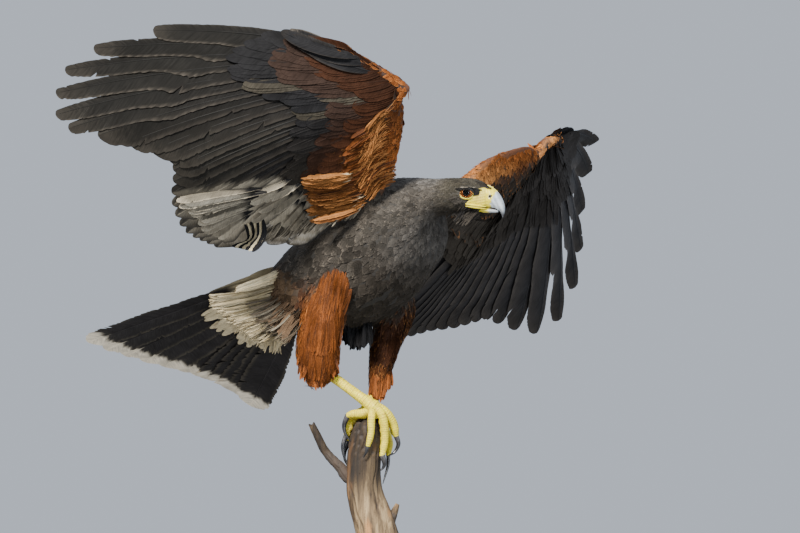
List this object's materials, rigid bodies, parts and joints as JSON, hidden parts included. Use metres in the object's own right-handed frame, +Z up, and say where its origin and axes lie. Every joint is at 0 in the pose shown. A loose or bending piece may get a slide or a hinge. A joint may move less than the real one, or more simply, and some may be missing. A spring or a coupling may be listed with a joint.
{
  "type": "harris hawk museum model",
  "caption": "Life-size still model of a dark raptor with chestnut shoulders and thighs, wings raised and tail fanned, gripping a dead snag on a plain round display stand.",
  "frame": {"origin": "on the underside of the stand's base, straight below the snag's top", "axes": "+X is the picture's right, +Y points away from the viewer, +Z is up"},
  "size_m": [0.5431, 0.5614, 0.626],
  "materials": {
    "plumage": "matt body feathers, soot brown with paler edges",
    "flight_feathers": "satin flight and tail feathers, slate black",
    "rufous_feathers": "matt chestnut feathers",
    "yellow_scale": "scaled yellow skin of shanks, toes and cere",
    "horn": "polished black horn",
    "bill": "smooth blue-grey horn",
    "eye": "wet brown eye",
    "wood": "weathered bare dead wood",
    "stand": "plain dark satin base and rod"
  },
  "bodies": {
    "root": {"head": "plumage", "neck": "plumage", "torso": "plumage", "rump": "plumage", "tail": "flight_feathers", "wing_right_arm": "flight_feathers", "wing_right_forearm": "flight_feathers", "wing_right_hand": "flight_feathers", "wing_left_arm": "flight_feathers", "wing_left_forearm": "flight_feathers", "wing_left_hand": "flight_feathers", "thigh_right": "rufous_feathers", "thigh_left": "rufous_feathers", "shank_right": "yellow_scale", "shank_left": "yellow_scale", "foot_right": "yellow_scale", "foot_left": "yellow_scale", "claw_right_outer": "horn", "claw_right_middle": "horn", "claw_right_inner": "horn", "claw_right_hind": "horn", "claw_left_outer": "horn", "claw_left_middle": "horn", "claw_left_inner": "horn", "claw_left_hind": "horn", "bill_upper": "bill", "bill_lower": "bill", "eye_right": "eye", "eye_left": "eye", "perch": "wood", "stand_rod": "stand", "stand_base": "stand"}
  },
  "joints": []
}
